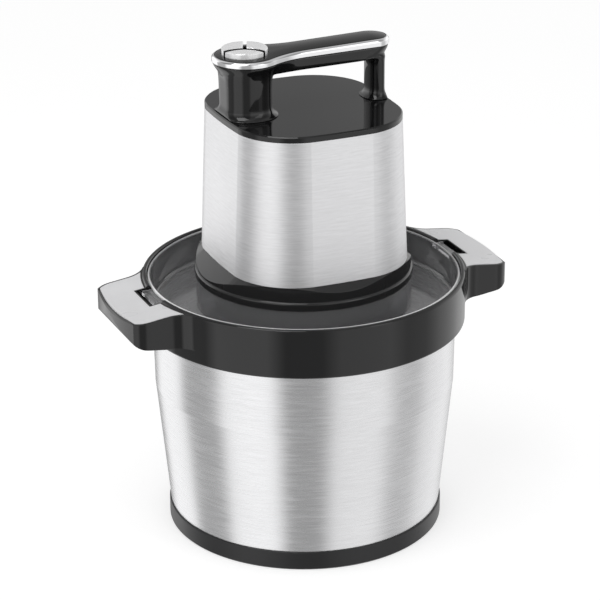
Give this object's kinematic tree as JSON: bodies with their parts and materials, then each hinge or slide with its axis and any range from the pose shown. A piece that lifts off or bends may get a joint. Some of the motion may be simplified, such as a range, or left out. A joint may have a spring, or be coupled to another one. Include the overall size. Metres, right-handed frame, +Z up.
{
  "type": "electric food chopper",
  "caption": "Electric food chopper with a steel bowl, side grips, a smoked clear lid and a lift-out motor unit whose keyed top handle drives stacked blades.",
  "frame": {"origin": "centre of the base ring's underside, on the table", "axes": "+Z up the axis of rotation, +X through the right side grip, the front looks along -Y"},
  "size_m": [0.305, 0.24, 0.3741],
  "materials": {
    "bowl_steel": "brushed",
    "sleeve_steel": "brushed",
    "blade_steel": "ground",
    "plain_steel": "satin",
    "bright_chrome": "polished",
    "gloss_black": "gloss",
    "soft_black": "satin",
    "grip_grey": "satin",
    "smoked_clear": "clear gloss",
    "seal_rubber": "matt",
    "white_nylon": "satin",
    "lamination_steel": "satin",
    "cast_alloy": "cast",
    "copper": "enamelled",
    "carbon": "matt"
  },
  "bodies": {
    "bowl": {"base_ring": "soft_black", "bowl": "bowl_steel", "bowl_collar": "gloss_black", "left_grip_inlay": "grip_grey", "right_grip_inlay": "grip_grey", "spindle_pin": "plain_steel", "spindle_washer": "seal_rubber", "spindle_nut": "plain_steel"},
    "blade_carrier": {"pin_sleeve": "white_nylon"},
    "blade_set": {"blade_hub": "soft_black", "lower_blade": "blade_steel", "blade_spacer": "soft_black", "upper_blade": "blade_steel", "blade_nut": "soft_black", "drive_socket": "white_nylon"},
    "lid": {"lid": "smoked_clear", "lid_seal": "seal_rubber", "shaft_seal": "seal_rubber"},
    "motor_unit": {"motor_base": "gloss_black", "housing_sleeve": "sleeve_steel", "top_cap": "gloss_black", "tie_rods": "plain_steel", "handle_body": "gloss_black", "handle_trim": "bright_chrome", "handle_cover": "gloss_black", "switch_block": "soft_black", "front_key_spring": "plain_steel", "left_key_spring": "plain_steel", "right_key_spring": "plain_steel", "cord_inlet": "soft_black", "output_bearing": "plain_steel", "ring_gear": "white_nylon", "gearbox_cover": "cast_alloy", "lower_bearing": "plain_steel", "lower_bracket": "cast_alloy", "stator": "lamination_steel", "field_coils": "copper", "upper_bracket": "cast_alloy", "upper_bearing": "plain_steel", "motor_screws": "plain_steel", "brush_holders": "soft_black", "carbon_brushes": "carbon"},
    "rotor": {"rotor_shaft": "plain_steel", "armature": "lamination_steel", "armature_windings": "copper", "commutator": "copper", "fan": "soft_black"},
    "gear_carrier": {"planet_carrier": "plain_steel", "output_coupling": "plain_steel"},
    "planet_1": {"planet_gear_1": "white_nylon"},
    "planet_2": {"planet_gear_2": "white_nylon"},
    "planet_3": {"planet_gear_3": "white_nylon"},
    "front_key": {"front_key": "bright_chrome"},
    "left_key": {"left_key": "bright_chrome"},
    "right_key": {"right_key": "bright_chrome"}
  },
  "joints": [
    {"name": "blade_lift", "type": "slide", "parent": "bowl", "child": "blade_carrier", "axis": [0, 0, 1], "range_m": [0, 0.1]},
    {"name": "blade_spin", "type": "hinge", "parent": "blade_carrier", "child": "blade_set", "pos_m": [0, 0, 0.02], "axis": [0, 0, 1], "continuous": true},
    {"name": "lid_lift", "type": "slide", "parent": "bowl", "child": "lid", "axis": [0, 0, 1], "range_m": [0, 0.2]},
    {"name": "motor_lift", "type": "slide", "parent": "lid", "child": "motor_unit", "axis": [0, 0, 1], "range_m": [0, 0.09]},
    {"name": "rotor_spin", "type": "hinge", "parent": "motor_unit", "child": "rotor", "pos_m": [0, 0, 0.23], "axis": [0, 0, 1], "continuous": true},
    {"name": "carrier_spin", "type": "hinge", "parent": "motor_unit", "child": "gear_carrier", "pos_m": [0, 0, 0.16], "axis": [0, 0, 1], "continuous": true},
    {"name": "planet_1_spin", "type": "hinge", "parent": "gear_carrier", "child": "planet_1", "pos_m": [0.01875, 0, 0.17], "axis": [0, 0, 1], "continuous": true},
    {"name": "planet_2_spin", "type": "hinge", "parent": "gear_carrier", "child": "planet_2", "pos_m": [-0.00937, 0.01624, 0.17], "axis": [0, 0, 1], "continuous": true},
    {"name": "planet_3_spin", "type": "hinge", "parent": "gear_carrier", "child": "planet_3", "pos_m": [-0.00937, -0.01624, 0.17], "axis": [0, 0, 1], "continuous": true},
    {"name": "front_key_press", "type": "slide", "parent": "motor_unit", "child": "front_key", "axis": [0, 0, -1], "range_m": [0, 0.0018], "stiffness_N_per_m": 400, "springref_m": -0.002, "deforming": ["front_key_spring"]},
    {"name": "left_key_press", "type": "slide", "parent": "motor_unit", "child": "left_key", "axis": [0, 0, -1], "range_m": [0, 0.0018], "stiffness_N_per_m": 400, "springref_m": -0.002, "deforming": ["left_key_spring"]},
    {"name": "right_key_press", "type": "slide", "parent": "motor_unit", "child": "right_key", "axis": [0, 0, -1], "range_m": [0, 0.0018], "stiffness_N_per_m": 400, "springref_m": -0.002, "deforming": ["right_key_spring"]}
  ],
  "couplings": [
    {"joint": "blade_lift", "follows": "lid_lift", "ratio": 0.5},
    {"joint": "blade_spin", "follows": "rotor_spin", "ratio": 0.2},
    {"joint": "carrier_spin", "follows": "rotor_spin", "ratio": 0.2},
    {"joint": "planet_1_spin", "follows": "rotor_spin", "ratio": -0.53333},
    {"joint": "planet_2_spin", "follows": "rotor_spin", "ratio": -0.53333},
    {"joint": "planet_3_spin", "follows": "rotor_spin", "ratio": -0.53333}
  ]
}
